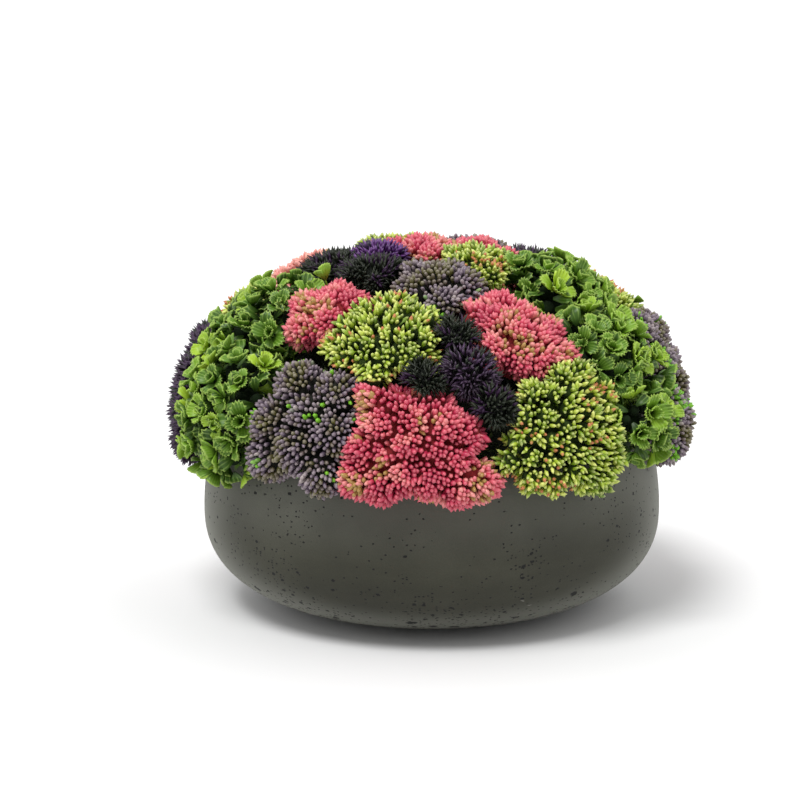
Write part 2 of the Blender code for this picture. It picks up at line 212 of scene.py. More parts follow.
def light_studio():
    """Soft sky light before a white backdrop, and the lights, shown in plain display colours."""
    world = bpy.data.worlds.new("studio")
    world.use_nodes = True
    sky = world.node_tree.nodes["Background"]
    sky.inputs["Color"].default_value = (1, 1, 1, 1)
    rays = world.node_tree.nodes.new("ShaderNodeLightPath")
    glow = world.node_tree.nodes.new("ShaderNodeMapRange")
    glow.inputs["To Min"].default_value = SKY_STRENGTH
    glow.inputs["To Max"].default_value = BACKDROP_STRENGTH
    world.node_tree.links.new(rays.outputs["Is Camera Ray"], glow.inputs["Value"])
    world.node_tree.links.new(glow.outputs["Result"], sky.inputs["Strength"])
    bpy.context.scene.world = world
    for name, bearing, height, spread, strength in LIGHTS:
        data = bpy.data.lights.new(name, "SUN")
        data.angle = math.radians(spread)
        data.energy = strength
        lamp = bpy.data.objects.new(name, data)
        bpy.context.scene.collection.objects.link(lamp)
        lamp.rotation_euler = (math.radians(90 - height), 0, math.radians(bearing))
    bpy.context.scene.view_settings.view_transform = "Standard"


lay_floor()
light_studio()


# The bowl is cast in dark grey concrete: a low round belly on a small flat foot, with a rounded lip.
# Air bubbles in the mix leave small pinholes, painted near black with the shade inside them, more of them
# low down, and there are a few pale scuffs.
BOWL_RADIUS = 0.1095
BOWL_WIDEST_HEIGHT = 0.046
BOWL_HEIGHT = 0.084
RIM_RADIUS = 0.1037
FOOT_RADIUS = 0.036
BOWL_WALL = 0.007
BOWL_FLOOR = 0.009
BELLY_ROUNDNESS = 2.3
BELLY_STEPS = 26
SHOULDER_STEP = 0.0025
SHOULDER_STEPS = 14
LIP_ROUNDING = 0.003
LIP_SQUARENESS = 0.6
LIP_SETBACK = 0.0002
LIP_STEPS = 10
INSIDE_STEPS = 20
INSIDE_STEPS_GROW = 1.6
BOWL_STEPS = 144
MERGE_DISTANCE = 0.00001
CONCRETE = (0.032, 0.032, 0.021)
CONCRETE_DARK = (0.023, 0.023, 0.015)
CONCRETE_PALE = (0.045, 0.045, 0.031)
# A pale colour painted on the concrete: a painted sheen where it is seen at a flat glance, and painted
# light that makes the shoulder paler upward
PAINTED_PALE_LIGHT = (0.190, 0.193, 0.165)
PAINTED_SHEEN_AT_GLANCE = 0.95
PAINTED_LIGHT_ON_SHOULDER = 0.45
PINHOLE_PAINTED_SHADE = (0.005, 0.005, 0.004)
PINHOLE_DEPTH = 0.0006
PINHOLE_RAGGED = 0.50
PINHOLE_SQUASH = (1, 1, 1.5)
SCUFF = (0.24, 0.23, 0.21)
SCUFF_SHARE = 0.55
# Sizes of pinhole: cells a metre, size in a cell, then the share of cells that have one in flocks of them,
# low on the belly, round the foot and anywhere
PINHOLES = [
    (540, 0.34, 0.26, 0.26, 0.00, 0.030),
    (250, 0.30, 0.12, 0.20, 0.00, 0.020),
    (110, 0.30, 0.00, 0.06, 0.40, 0.006),
]


def bowl_outside(height):
    """Outer radius of the bowl at a height."""
    if height >= BOWL_WIDEST_HEIGHT:
        share = (height - BOWL_WIDEST_HEIGHT) / (BOWL_HEIGHT - BOWL_WIDEST_HEIGHT)
        return BOWL_RADIUS - (BOWL_RADIUS - RIM_RADIUS) * share ** 2
    drop = 1 - height / BOWL_WIDEST_HEIGHT
    belly = (1 - drop ** BELLY_ROUNDNESS) ** (1 / BELLY_ROUNDNESS)
    return FOOT_RADIUS + (BOWL_RADIUS - FOOT_RADIUS) * belly


def bowl_inside(height):
    """Inner radius of the bowl at a height above its floor."""
    lift = (height - BOWL_FLOOR) / (BOWL_HEIGHT - BOWL_FLOOR)
    return bowl_outside(BOWL_HEIGHT * lift) - BOWL_WALL


def new_piece(name, mesh, finish, slot, *nodes):
    """Shows a mesh as a piece of the object that stands for CAD nodes."""
    piece = bpy.data.objects.new(name, mesh)
    bpy.context.scene.collection.objects.link(piece)
    mesh.materials.append(finish.material)
    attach(piece, "root")
    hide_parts(*nodes)


def turned_mesh(name, profile, steps):
    """A profile of (radius, height) points turned about Z, smooth all over."""
    bm = bmesh.new()
    points = [bm.verts.new((radius, 0, height)) for radius, height in profile]
    edges = [bm.edges.new(pair) for pair in zip(points, points[1:])]
    bmesh.ops.spin(bm, geom=points + edges, axis=(0, 0, 1), cent=(0, 0, 0), steps=steps, angle=2 * math.pi)
    bmesh.ops.remove_doubles(bm, verts=bm.verts, dist=MERGE_DISTANCE)
    bmesh.ops.recalc_face_normals(bm, faces=bm.faces)
    for face in bm.faces:
        face.smooth = True
    mesh = bpy.data.meshes.new(name)
    bm.to_mesh(mesh)
    bm.free()
    return mesh


def bowl_profile():
    """Outline of the bowl's wall, from the middle of its floor over the lip to the middle of its foot."""
    lip = BOWL_HEIGHT - LIP_ROUNDING
    inner = [BOWL_FLOOR + (lip - BOWL_FLOOR) * (step / INSIDE_STEPS) ** INSIDE_STEPS_GROW
             for step in range(INSIDE_STEPS + 1)]
    profile = [(0, BOWL_FLOOR)] + [(bowl_inside(height), height) for height in inner]
    middle = RIM_RADIUS - BOWL_WALL / 2
    for step in range(1, LIP_STEPS):
        angle = math.pi * (1 - step / LIP_STEPS)
        across = math.copysign(abs(math.cos(angle)) ** LIP_SQUARENESS, math.cos(angle))
        rise = math.sin(angle) ** LIP_SQUARENESS
        profile.append((middle + across * (BOWL_WALL / 2 - LIP_SETBACK), lip + LIP_ROUNDING * rise))
    shoulder = [lip - SHOULDER_STEP * step for step in range(SHOULDER_STEPS)]
    belly = [BOWL_WIDEST_HEIGHT * (1 - math.sin(step / BELLY_STEPS * math.pi / 2))
             for step in range(BELLY_STEPS)]
    profile += [(bowl_outside(height), height) for height in shoulder + belly]
    return profile + [(FOOT_RADIUS, 0), (0, 0)]


def concrete_finish():
    """Matte dark concrete with clouds, faint level streaks, a painted sheen at a flat glance, painted light
    on the shoulder, pinholes and scuffs.
    """
    finish = Finish("concrete", Roughness=0.66, Specular_IOR_Level=0.30)
    clouds = finish.noise(22, 4.0)
    streaks = finish.noise(9, 3.0, stretch=(1, 1, 9))
    grain = finish.noise(1400, 2.0)
    tone = clouds * 0.55 + streaks * 0.30 + grain * 0.15
    colour = finish.ramp(tone, [(0.36, CONCRETE_DARK), (0.52, CONCRETE), (0.68, CONCRETE_PALE)])
    # Painted sheen: the concrete is made paler where it is seen at a flat glance
    glance = finish.node("ShaderNodeLayerWeight", None, {"Blend": 0.5}, output=1)
    colour = finish.mix(glance.rise(0.40, 1.0) * PAINTED_SHEEN_AT_GLANCE, colour, PAINTED_PALE_LIGHT)
    height = finish.node("ShaderNodeSeparateXYZ", None, {0: finish.place()}, output=2)
    # Painted light: the shoulder is made paler towards the lip, as if lit from above
    colour = finish.mix(height.rise(0.040, 0.082) * PAINTED_LIGHT_ON_SHOULDER, colour, PAINTED_PALE_LIGHT)
    low = 1 - height.rise(0.006, 0.045)
    lowest = 1 - height.rise(0.002, 0.018)
    flocks = finish.noise(38, 2.0).rise(0.42, 0.66)
    holes = 0.0
    for scale, size, in_flocks, low_down, at_foot, anywhere in PINHOLES:
        share = flocks * in_flocks + low * low_down + lowest * at_foot + anywhere
        holes = holes + pinholes(finish, scale, size, share)
    hole = holes.rise(0.0, 0.6)
    # Painted shade: the pinholes are coloured near black for the shade inside them
    colour = finish.mix(hole, colour, PINHOLE_PAINTED_SHADE)
    scuffs = finish.noise(70, 3.0, stretch=(1, 1, 2.2), distortion=0.6).rise(0.735, 0.78)
    finish.colour(finish.mix(scuffs * SCUFF_SHARE, colour, SCUFF))
    finish.relief(grain * 0.12 + clouds * 0.20 + (1 - hole), PINHOLE_DEPTH)
    return finish


def pinholes(finish, scale, size, share):
    """1 in a share of the cells of a scattered pattern, at their middle, with a ragged edge."""
    ragged = finish.noise(scale * 5, 2.0)
    cells = {"Vector": finish.place(PINHOLE_SQUASH), "Scale": scale}
    near = finish.node("ShaderNodeTexVoronoi", None, cells)
    pick = finish.node("ShaderNodeTexVoronoi", None, cells, output=1)
    chance = finish.node("ShaderNodeSeparateColor", None, {0: pick})
    inside = 1 - (near + (ragged - 0.5) * PINHOLE_RAGGED).rise(size * 0.55, size)
    return inside * (share - chance).above(0)


def make_bowl():
    """Bowl, turned from one outline."""
    mesh = turned_mesh("concrete_bowl", bowl_profile(), BOWL_STEPS)
    new_piece("concrete_bowl", mesh, concrete_finish(), "concrete", "bowl")


make_bowl()


# The mound is a block of dark florist's foam that fills the bowl and crowns above its rim. The stems are
# pushed into it, and its top is rough with moss, coloured near black, partly as painted shade in the gaps
# between the heads.
GAP = 0.0003
MOUND_EDGE_HEIGHT = BOWL_HEIGHT - 0.004
MOUND_RISE = 0.066
MOUND_SIDE_HEIGHTS = (0.066, 0.050, 0.034, 0.022, 0.012)
MOUND_RINGS = 36
MOUND_STEPS = 110
MOSS_ROUGHNESS = 0.0024
MOSS_SUNK = 0.7
CLUMP_SCALE = 160
TUFT_SCALE = 420
TUFT_SHARE = 0.6
MOSS_GRAIN = 900
MOSS_RELIEF = 0.0010
DARKEST_MOSS_AND_SHADE = (0.004, 0.006, 0.003)
MOSS_AND_SHADE = (0.018, 0.026, 0.010)


def mound_edge_radius():
    """Radius of the mound where it meets the bowl's inner wall."""
    return bowl_inside(MOUND_EDGE_HEIGHT) - GAP


def mound_height(radius):
    """Height of the mound's crown at a radius."""
    return MOUND_EDGE_HEIGHT + MOUND_RISE * math.sqrt(max(0, 1 - (radius / mound_edge_radius()) ** 2))


def make_mound():
    """Crowned mound, rough on top and closed by a plain underside inside the bowl."""
    edge = mound_edge_radius()
    crown = [edge * math.sin(ring / MOUND_RINGS * math.pi / 2) for ring in range(MOUND_RINGS + 1)]
    profile = [(radius, mound_height(radius)) for radius in crown]
    profile += [(bowl_inside(height) - 2 * GAP, height) for height in MOUND_SIDE_HEIGHTS]
    profile.append((0, MOUND_SIDE_HEIGHTS[-1]))
    mesh = turned_mesh("mossy_mound", profile, MOUND_STEPS)
    for vert in mesh.vertices:
        if vert.co.z > MOUND_EDGE_HEIGHT + MOSS_ROUGHNESS:
            clump = noise.noise(vert.co * CLUMP_SCALE) + TUFT_SHARE * noise.noise(vert.co * TUFT_SCALE)
            vert.co += vert.normal * MOSS_ROUGHNESS * (clump - MOSS_SUNK)
    finish = Finish("moss", Roughness=0.95)
    grain = finish.noise(MOSS_GRAIN, 3.0)
    # The moss is made near black, partly its own dark green and partly painted shade in the gaps between
    # the heads
    finish.colour(finish.ramp(grain, [(0.35, DARKEST_MOSS_AND_SHADE), (0.65, MOSS_AND_SHADE)]))
    finish.relief(grain, MOSS_RELIEF)
    new_piece("mossy_mound", mesh, finish, "moss", "foam_mound")


make_mound()


# Each sedum head is a flower head moulded in soft plastic: round lobes of short buds on thin stalks that
# spring from one stem. The heads fill a dome, each in its own cell between its neighbours.
OVERALL_WIDTH = 0.254
OVERALL_HEIGHT = 0.178
TIP_STAND_OUT = 0.0012
DOME_RADIUS = OVERALL_WIDTH / 2 - TIP_STAND_OUT
DOME_CENTRE_HEIGHT = 0.093
DOME_RISE = OVERALL_HEIGHT - DOME_CENTRE_HEIGHT - TIP_STAND_OUT
GOLDEN_ANGLE = math.pi * (3 - math.sqrt(5))
SMALL_LOBE_SHARE = 0.5
# Lobes spread wider in the heads at the back and on the top, which are fewer for their space
LOBE_SPREAD = 1.32
WIDE_LOBE_SPREAD = 1.50
TOP_TILT = 38
FRONT_BEARING = 86
LOBE_SINK = 0.24
LOBE_ROOM = 0.5
LOBE_TRIES = 10
SKIRT_HEIGHT = 0.070
CENTRE_SHARE = 0.35
NEIGHBOUR_REACH = 0.110
MOVES_INSIDE = 6
LIP_LEAN = math.radians(65)

# Each kind: the lobes' radius, how far apart they stand for it and how softly they join
KINDS = {
    "pink": dict(lobe=0.0098, apart=1.08, blend=0.0011),
    "blush": dict(lobe=0.0085, apart=1.05, blend=0.0012),
    "lime": dict(lobe=0.0074, apart=1.10, blend=0.0008),
    "mauve": dict(lobe=0.0130, apart=1.10, blend=0.0010),
    "dark": dict(lobe=0.0080, apart=1.00, blend=0.0015),
    "plum": dict(lobe=0.0090, apart=1.00, blend=0.0015),
    "green": dict(lobe=0.0120, apart=0.80, blend=0.0030),
}

# Each head: its place, kind, bearing from the front, tilt from straight up, radius in millimetres
HEADS = [
    ("front", "pink", -5, 86, 39),
    ("right_front", "lime", 30, 84, 31),
    ("left_front", "mauve", -29, 80, 33),
    ("centre", "lime", -13, 60, 28),
    ("right", "pink", 25, 60, 26),
    ("left", "pink", -40, 51, 20),
    ("centre", "dark", 7, 59, 11),
    ("centre", "plum", 9, 69, 14),
    ("low_left", "dark", -2, 71, 10),
    ("low_right", "dark", 14, 78, 11),
    ("top_front", "mauve", 2, 34, 22),
    ("top_right", "lime", 50, 21, 16),
    ("top_left", "pink", -150, 9, 18),
    ("top_right", "pink", 100, 17, 19),
    ("top_rear_left", "lime", -138, 27, 11),
    ("top_left", "dark", -88, 32, 16),
    ("top_left", "plum", -85, 19, 13),
    ("top_front_left", "dark", -42, 30, 13),
    ("top_rear_left", "blush", -108, 43, 14),
    ("top_rear_right", "plum", 104, 34, 15),
    ("left_high", "green", -68, 61, 29),
    ("left_low", "green", -56, 82, 30),
    ("right_high", "green", 70, 44, 25),
    ("right_middle", "green", 56, 67, 26),
    ("right_low", "green", 54, 86, 15),
    ("right_side", "mauve", 84, 82, 33),
    ("left_side", "plum", -88, 85, 28),
    ("rear_right_low", "pink", 127, 80, 30),
    ("rear_low", "green", 157, 80, 32),
    ("rear_low", "mauve", -172, 80, 31),
    ("rear_left_low", "lime", -144, 80, 30),
    ("rear_left_low", "pink", -120, 80, 24),
    ("rear_right_high", "lime", 108, 57, 23),
    ("rear_right_high", "dark", 132, 57, 21),
    ("rear_high", "pink", 160, 56, 27),
    ("rear_high", "green", -166, 55, 27),
    ("rear_left_high", "mauve", -136, 56, 25),
    ("left_side_high", "lime", -108, 62, 18),
    ("top_rear", "mauve", 150, 29, 21),
    ("top_rear", "lime", -168, 27, 16),
]


def sunflower_disc(count):
    """Places on a disc of radius 1 by the golden angle, from its middle outward."""
    for index in range(count):
        out = math.sqrt(index / count)
        angle = index * GOLDEN_ANGLE
        yield out * math.cos(angle), out * math.sin(angle)


class Head:
    """One head or bunch: its place on the dome, the way it faces, its cell and its lobes."""

    def __init__(self, place, kind, bearing, tilt, radius_mm):
        self.node = f"{kind}_{'bunch' if kind == 'green' else 'head'}_{place}"
        self.kind = kind
        self.sizes = KINDS[kind]
        self.radius = radius_mm / 1000
        self.lobe = min(self.sizes["lobe"], self.radius * SMALL_LOBE_SHARE)
        in_front = abs(bearing) < FRONT_BEARING and tilt > TOP_TILT
        self.spread = LOBE_SPREAD if in_front else WIDE_LOBE_SPREAD
        turn = math.radians(bearing)
        lean = math.radians(tilt)
        ray = Vector((math.sin(lean) * math.sin(turn), -math.sin(lean) * math.cos(turn), math.cos(lean)))
        reach = 1 / math.sqrt((ray.xy.length / DOME_RADIUS) ** 2 + (ray.z / DOME_RISE) ** 2)
        self.summit = ray * reach + Vector((0, 0, DOME_CENTRE_HEIGHT))
        facing = Vector((ray.x / DOME_RADIUS ** 2, ray.y / DOME_RADIUS ** 2, ray.z / DOME_RISE ** 2))
        self.facing = facing.normalized()
        self.turn = self.facing.to_track_quat("Z", "Y").to_matrix()
        self.depth = self.lobe + CENTRE_SHARE * self.radius
        self.centre = self.summit - self.facing * self.depth
        self.planes = []
        self.lobes = []

    def find_cell(self, heads):
        """Planes under the head and between it and its neighbours."""
        lean = min(math.acos(self.facing.z), LIP_LEAN)
        outward = self.facing.xy.normalized() * math.sin(lean)
        up = Vector((outward.x, outward.y, math.cos(lean)))
        edge = mound_edge_radius()
        crown = MOUND_EDGE_HEIGHT * up.z + math.hypot(edge * math.sin(lean), MOUND_RISE * up.z)
        lip = RIM_RADIUS * math.sin(lean) + BOWL_HEIGHT * up.z
        self.planes.append((-up, -max(crown, lip) - GAP))
        for other in heads:
            apart = other.centre - self.centre
            if other is not self and apart.length < NEIGHBOUR_REACH:
                share = self.radius / (self.radius + other.radius)
                normal = apart.normalized()
                self.planes.append((normal, normal.dot(self.centre + apart * share)))

    def moved_inside(self, place, room):
        """A place moved off the sides of the cell until it has the room asked for."""
        for _ in range(MOVES_INSIDE):
            for normal, offset in self.planes[1:]:
                lack = room - (offset - normal.dot(place))
                if lack > 0:
                    place = place - normal * lack
        return place

    def spread_lobes(self):
        """Lobe centres in a sunflower pattern under the summit, moved inside the cell."""
        spread = self.spread * self.radius - self.lobe
        for x, y in sunflower_disc(round(LOBE_TRIES * (self.radius / self.lobe) ** 2)):
            sink = LOBE_SINK * spread * (x * x + y * y)
            local = Vector((spread * x, spread * y, -self.lobe - sink))
            place = self.moved_inside(self.summit + self.turn @ local, LOBE_ROOM * self.lobe)
            place.z = max(place.z, SKIRT_HEIGHT + self.lobe)
            near = min(((place - other).length for other in self.lobes), default=math.inf)
            if near > self.sizes["apart"] * self.lobe:
                self.lobes.append(place)


heads = [Head(*row) for row in HEADS]
for head in heads:
    head.find_cell(heads)
    head.spread_lobes()


# The tips of a head's buds lie evenly over its lobes, which join softly where they meet. None of them
# lies inside another head's lobes, in the bowl or in the mound.
LOBE_SIZE_VARIES = 0.12
TIP_REACH = 0.0008
FACES_BACK = -0.15
SKIRT_OVERLAP = 0.0020
CROWDING = 0.74
HEAD_LEAN = 0.35
RIM_ROOM = 0.001
BURIED = 1e-6
NEARLY_UPRIGHT = 0.9
# Area that a spot takes in a honeycomb of spots, as a share of their spacing squared
HONEYCOMB_SHARE = 0.866


def sunflower_ball(count):
    """Directions spread evenly by the golden angle, from +Z down to -Z."""
    index = np.arange(count)
    height = 1 - 2 * (index + 0.5) / count
    ring = np.sqrt(1 - height ** 2)
    angle = index * GOLDEN_ANGLE
    return np.stack([ring * np.cos(angle), ring * np.sin(angle), height], axis=1)


def unit(vectors):
    """Vectors made 1 long."""
    return vectors / np.linalg.norm(vectors, axis=-1, keepdims=True)


def thinned(places, distance):
    """Indices of places that keep a distance from each other, taken in their order."""
    kept = []
    for index, place in enumerate(places):
        if not kept or np.linalg.norm(places[kept] - place, axis=1).min() > distance:
            kept.append(index)
    return np.array(kept, dtype=int)


def skin_spots(head, spacing, sunk, clearance, overlap, draw):
    """Spots on the softly joined lobes of a head, sunk under them, and the way each one faces.

    They keep a clearance from the other heads' lobes and overlap the neighbours' cells by a given length.
    """
    centres = np.array(head.lobes)
    radii = head.lobe * draw.uniform(1 - LOBE_SIZE_VARIES, 1 + LOBE_SIZE_VARIES / 2, len(centres))
    spots = []
    for centre, radius in zip(centres, radii):
        ball = sunflower_ball(round(4 * math.pi * radius ** 2 / (HONEYCOMB_SHARE * spacing ** 2)))
        spin = np.linalg.qr(draw.normal(size=(3, 3)))[0]
        spots.append(centre + ball @ spin * radius)
    spots = np.concatenate(spots)
    offsets = spots[:, None] - centres
    distances = np.linalg.norm(offsets, axis=2)
    on_skin = (distances - radii).min(axis=1) > -BURIED
    blend = head.sizes["blend"]
    pulls = np.exp((radii - distances) / blend)
    lift = blend * np.log(pulls.sum(axis=1)) + TIP_REACH - sunk
    outward = unit((offsets / distances[..., None] * pulls[..., None]).sum(axis=1))
    spots = spots + outward * lift[:, None]
    from_centre = unit(spots - np.array(head.centre))
    faces_out = (outward * from_centre).sum(axis=1) > FACES_BACK
    clear = np.ones(len(spots), dtype=bool)
    for other in heads:
        if other is not head and (other.centre - head.centre).length < NEIGHBOUR_REACH:
            for lobe in other.lobes:
                clear &= np.linalg.norm(spots - np.array(lobe), axis=1) > other.lobe + clearance
    normals = np.array([normal for normal, _ in head.planes])
    limits = np.array([offset for _, offset in head.planes])
    clear &= (limits - spots @ normals.T).min(axis=1) > -overlap
    out = np.linalg.norm(spots[:, :2], axis=1)
    over_bowl = (spots[:, 2] > BOWL_HEIGHT) | (out > RIM_RADIUS + RIM_ROOM)
    over_skirt = spots[:, 2] > SKIRT_HEIGHT - SKIRT_OVERLAP
    chosen = np.flatnonzero(on_skin & faces_out & clear & over_bowl & over_skirt)
    draw.shuffle(chosen)
    chosen = chosen[thinned(spots[chosen], CROWDING * spacing)]
    facing = unit(outward[chosen] + HEAD_LEAN * from_centre[chosen])
    return spots[chosen], facing


def turns_to(directions, spins):
    """Rotations that take +Z to each direction, after a spin about it."""
    helper = np.where(np.abs(directions[:, 2:]) < NEARLY_UPRIGHT, (0.0, 0.0, 1.0), (1.0, 0.0, 0.0))
    across = unit(np.cross(helper, directions))
    beside = np.cross(directions, across)
    cos, sin = np.cos(spins)[:, None], np.sin(spins)[:, None]
    return np.stack([across * cos + beside * sin, beside * cos - across * sin, directions], axis=2)


class Growth:
    """Many small closed shapes gathered into one mesh, with numbers written on their points."""

    def __init__(self, *notes):
        self.points = []
        self.corners = []
        self.sizes = []
        self.notes = {name: [] for name in notes}
        self.count = 0

    def add(self, shape, turns, scales, places, **notes):
        """Copies of a shape, each turned, scaled and placed.

        A note is one number, a row of one number a point or a column of one number a copy.
        """
        points, faces = shape
        copies = len(places)
        placed = np.einsum("nij,npj->npi", turns, points * scales[:, None]) + places[:, None]
        self.points.append(placed.reshape(-1, 3))
        corners = np.array([corner for face in faces for corner in face])
        firsts = self.count + len(points) * np.arange(copies)
        self.corners.append((corners + firsts[:, None]).ravel())
        self.sizes.append(np.tile([len(face) for face in faces], copies))
        self.count += copies * len(points)
        for name, values in self.notes.items():
            values.append(np.broadcast_to(notes.get(name, 0.0), (copies, len(points))).ravel())

    def mesh(self, name):
        """One smooth mesh of all the shapes."""
        mesh = bpy.data.meshes.new(name)
        sizes = np.concatenate(self.sizes)
        mesh.vertices.add(self.count)
        mesh.vertices.foreach_set("co", np.concatenate(self.points).ravel())
        mesh.loops.add(sizes.sum())
        mesh.loops.foreach_set("vertex_index", np.concatenate(self.corners))
        mesh.polygons.add(len(sizes))
        mesh.polygons.foreach_set("loop_start", np.cumsum(sizes) - sizes)
        mesh.polygons.foreach_set("use_smooth", np.ones(len(sizes), dtype=bool))
        mesh.update(calc_edges=True)
        for note, values in self.notes.items():
            written = mesh.attributes.new(note, "FLOAT", "POINT")
            written.data.foreach_set("value", np.concatenate(values))
        return mesh


def core_ball():
    """Points and faces of a plain ball of radius 1."""
    bm = bmesh.new()
    bmesh.ops.create_icosphere(bm, subdivisions=2, radius=1)
    bm.verts.index_update()
    points = np.array([tuple(vert.co) for vert in bm.verts])
    faces = [[vert.index for vert in face.verts] for face in bm.faces]
    bm.free()
    return points, faces


CORE = core_ball()
HEAD_NECK = 0.50
# Kinds whose gaps are filled up by balls behind the lobes, in shares of the lobe's radius
FILLED_KINDS = ("pink", "blush")
FILLING_RADIUS = 0.80
FILLING_SINK = 0.62


def add_cores(growth, head, radius, neck):
    """Balls inside the lobes, behind them in the filled kinds, and the thick end of the stem."""
    count = len(head.lobes)
    plain = np.tile(np.eye(3), (count, 1, 1))
    growth.add(CORE, plain, np.full((count, 3), radius), np.array(head.lobes), along=-1.0)
    scales = neck * np.array([[head.radius, head.radius, head.depth]])
    turn = np.array(head.turn)[None]
    growth.add(CORE, turn, scales, np.array(head.centre)[None], along=-1.0)
    if head.kind in FILLED_KINDS:
        lobes = np.array(head.lobes)
        behind = lobes + unit(np.array(head.centre) - lobes) * FILLING_SINK * head.lobe
        growth.add(CORE, plain, np.full((count, 3), FILLING_RADIUS * head.lobe), behind, along=-1.0)


# A bud is a small drop on a thin stalk, moulded in one with it in soft plastic. Pink, pale pink and lime
# buds are pointed, mauve ones are round drops, and the near black and plum ones are needles.

# Each outline: its number of sides, then (place, radius as a share of half its width) from the foot of
# the drop, at 0, to the tip, at 1. The stalk's root is at -1.
BUD_OUTLINES = {
    "pointed": (5, [(0.00, 0.40), (0.36, 1.00), (0.74, 0.68)]),
    "drop": (5, [(0.00, 0.34), (0.50, 1.00), (0.84, 0.74)]),
    "needle": (4, [(0.00, 0.60), (0.50, 1.00)]),
}
# Each kind's buds: their outline, length, width and spacing, and how ragged they stand
BUDS = {
    "pink": dict(outline="pointed", length=0.0056, width=0.0028, spacing=0.0024, ragged=1.3),
    "blush": dict(outline="pointed", length=0.0052, width=0.0025, spacing=0.0024, ragged=1.3),
    "lime": dict(outline="pointed", length=0.0046, width=0.0021, spacing=0.0026, ragged=1.9),
    "mauve": dict(outline="drop", length=0.0050, width=0.0022, spacing=0.0027, ragged=1.2),
    "dark": dict(outline="needle", length=0.0060, width=0.0014, spacing=0.0023, ragged=1.2),
    "plum": dict(outline="needle", length=0.0058, width=0.0015, spacing=0.0023, ragged=1.2),
}
BUD_LEAN_VARIES = 0.15
BUD_DEPTH_VARIES = 0.0009
BUD_RAISED_SHARE = 0.8
BUD_LENGTH_VARIES = 0.16
BUD_WIDTH_VARIES = 0.14
MOST_SPIN = 6
BUD_CLEARANCE = -0.0010
BUD_OVERLAP = 0.0030
PATCH_SCALE = 75
PATCH_STRENGTH = 0.9
CORE_UNDER_TIPS = 0.76


def bud_shape(sides, outline):
    """Points and faces of a bud that points along +Z."""
    points = [(0, 0, -1)]
    for height, radius in outline:
        for side in range(sides):
            angle = 2 * math.pi * side / sides
            points.append((radius * math.cos(angle), radius * math.sin(angle), height))
    points.append((0, 0, 1))
    faces = []
    last = len(points) - 1
    top = last - sides
    for side in range(sides):
        after = (side + 1) % sides
        faces.append((0, 1 + after, 1 + side))
        faces.append((last, top + side, top + after))
        for ring in range(len(outline) - 1):
            low = 1 + ring * sides
            high = low + sides
            faces.append((low + side, low + after, high + after, high + side))
    return np.array(points), faces


def patches(spots, seed):
    """Soft patches over the spots, mostly between 0 and 1."""
    shift = Vector((seed, 0, 0))
    cloud = [noise.noise(Vector(spot) * PATCH_SCALE + shift) for spot in spots]
    return 0.5 + PATCH_STRENGTH * np.array(cloud)


def head_mesh(head, seed):
    """All the buds of a head over its lobes, on cores coloured with painted shade."""
    draw = np.random.default_rng(seed)
    sizes = BUDS[head.kind]
    spots, facing = skin_spots(head, sizes["spacing"], 0.0, BUD_CLEARANCE, BUD_OVERLAP, draw)
    count = len(spots)
    depth = BUD_DEPTH_VARIES * sizes["ragged"]
    spots += facing * draw.uniform(-depth, BUD_RAISED_SHARE * depth, (count, 1))
    lean = unit(facing + draw.normal(0, BUD_LEAN_VARIES * sizes["ragged"], (count, 3)))
    length = sizes["length"] * draw.uniform(1 - BUD_LENGTH_VARIES, 1 + BUD_LENGTH_VARIES, (count, 1))
    width = sizes["width"] * draw.uniform(1 - BUD_WIDTH_VARIES, 1 + BUD_WIDTH_VARIES, (count, 1))
    shape = bud_shape(*BUD_OUTLINES[sizes["outline"]])
    turns = turns_to(lean, draw.uniform(0, MOST_SPIN, count))
    scales = np.hstack([width / 2, width / 2, length])
    growth = Growth("along", "tone", "tint", "patch")
    patch = patches(spots, seed)[:, None]
    growth.add(shape, turns, scales, spots - lean * length, along=shape[0][:, 2],
               tone=draw.random((count, 1)), tint=draw.random((count, 1)), patch=patch)
    add_cores(growth, head, head.lobe - CORE_UNDER_TIPS * sizes["length"], HEAD_NECK)
    return growth.mesh(head.node + "_buds")
